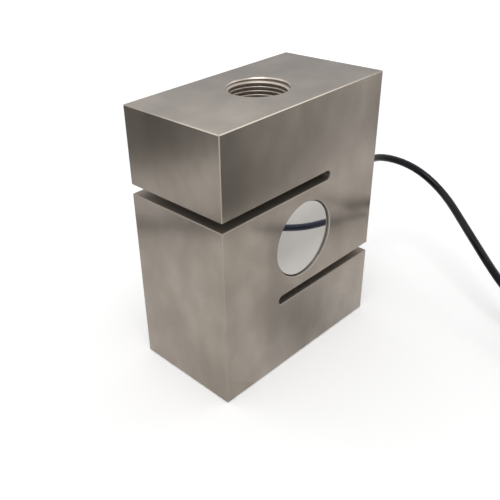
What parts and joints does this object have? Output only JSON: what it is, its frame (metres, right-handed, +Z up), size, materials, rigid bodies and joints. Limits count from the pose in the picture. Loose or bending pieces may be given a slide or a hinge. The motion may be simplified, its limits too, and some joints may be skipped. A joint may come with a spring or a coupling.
{
  "type": "S-type load cell",
  "caption": "Steel S-shaped load cell: block with two side slots, a threaded hole at each end, polished discs over its gauge cavities, and a black signal cable from one side.",
  "frame": {"origin": "centre of the spring body's bottom face, on the axis of its threaded holes", "axes": "+Z up along both threaded holes, +X towards the narrow side that the cable leaves, -Y towards the front broad face"},
  "size_m": [0.2402, 0.2132, 0.14],
  "materials": {
    "ground_nickel_steel": "ground and nickel plated, satin",
    "polished_steel": "polished to a mirror",
    "dark_sealant": "matt",
    "polyimide_film": "clear amber film",
    "gauge_foil": "etched constantan foil",
    "gauge_lead_wire": "tinned",
    "soft_coating": "soft milky silicone",
    "circuit_board": "glass-fibre laminate",
    "chip_resistor": "ceramic chip",
    "insulation_red": "smooth",
    "insulation_black": "smooth",
    "insulation_green": "smooth",
    "insulation_white": "smooth",
    "jumper_wire": "insulated wire",
    "nickel_plated_brass": "nickel plated, bright",
    "black_rubber": "matt",
    "black_cable_jacket": "smooth, glossy",
    "black_nylon": "matt",
    "shrink_sleeve": "satin",
    "tinned_copper": "tinned"
  },
  "bodies": {
    "root": {"spring_body": "ground_nickel_steel", "front_cover": "polished_steel", "rear_cover": "polished_steel", "front_sealant_ring": "dark_sealant", "rear_sealant_ring": "dark_sealant", "front_gauge_backing": "polyimide_film", "front_gauge_foil": "gauge_foil", "front_gauge_leads": "gauge_lead_wire", "front_gauge_coating": "soft_coating", "front_terminal_board": "circuit_board", "rear_gauge_backing": "polyimide_film", "rear_gauge_foil": "gauge_foil", "rear_gauge_leads": "gauge_lead_wire", "rear_gauge_coating": "soft_coating", "rear_terminal_board": "circuit_board", "zero_balance_resistor": "chip_resistor", "span_resistor": "chip_resistor", "core_red": "insulation_red", "lead_red": "insulation_red", "core_black": "insulation_black", "lead_black": "insulation_black", "core_green": "insulation_green", "lead_green": "insulation_green", "core_white": "insulation_white", "lead_white": "insulation_white", "bridge_jumpers": "jumper_wire", "gland_body": "nickel_plated_brass", "gland_nut": "nickel_plated_brass", "gland_washer": "black_rubber", "gland_seal": "black_rubber", "cable_inner": "black_cable_jacket", "cable": "black_cable_jacket", "cable_coil": "black_cable_jacket", "cable_tail": "black_cable_jacket", "coil_tie_1": "black_nylon", "coil_tie_2": "black_nylon", "end_sleeve": "shrink_sleeve", "lead_tips": "tinned_copper", "drain_wire": "tinned_copper"}
  },
  "joints": []
}
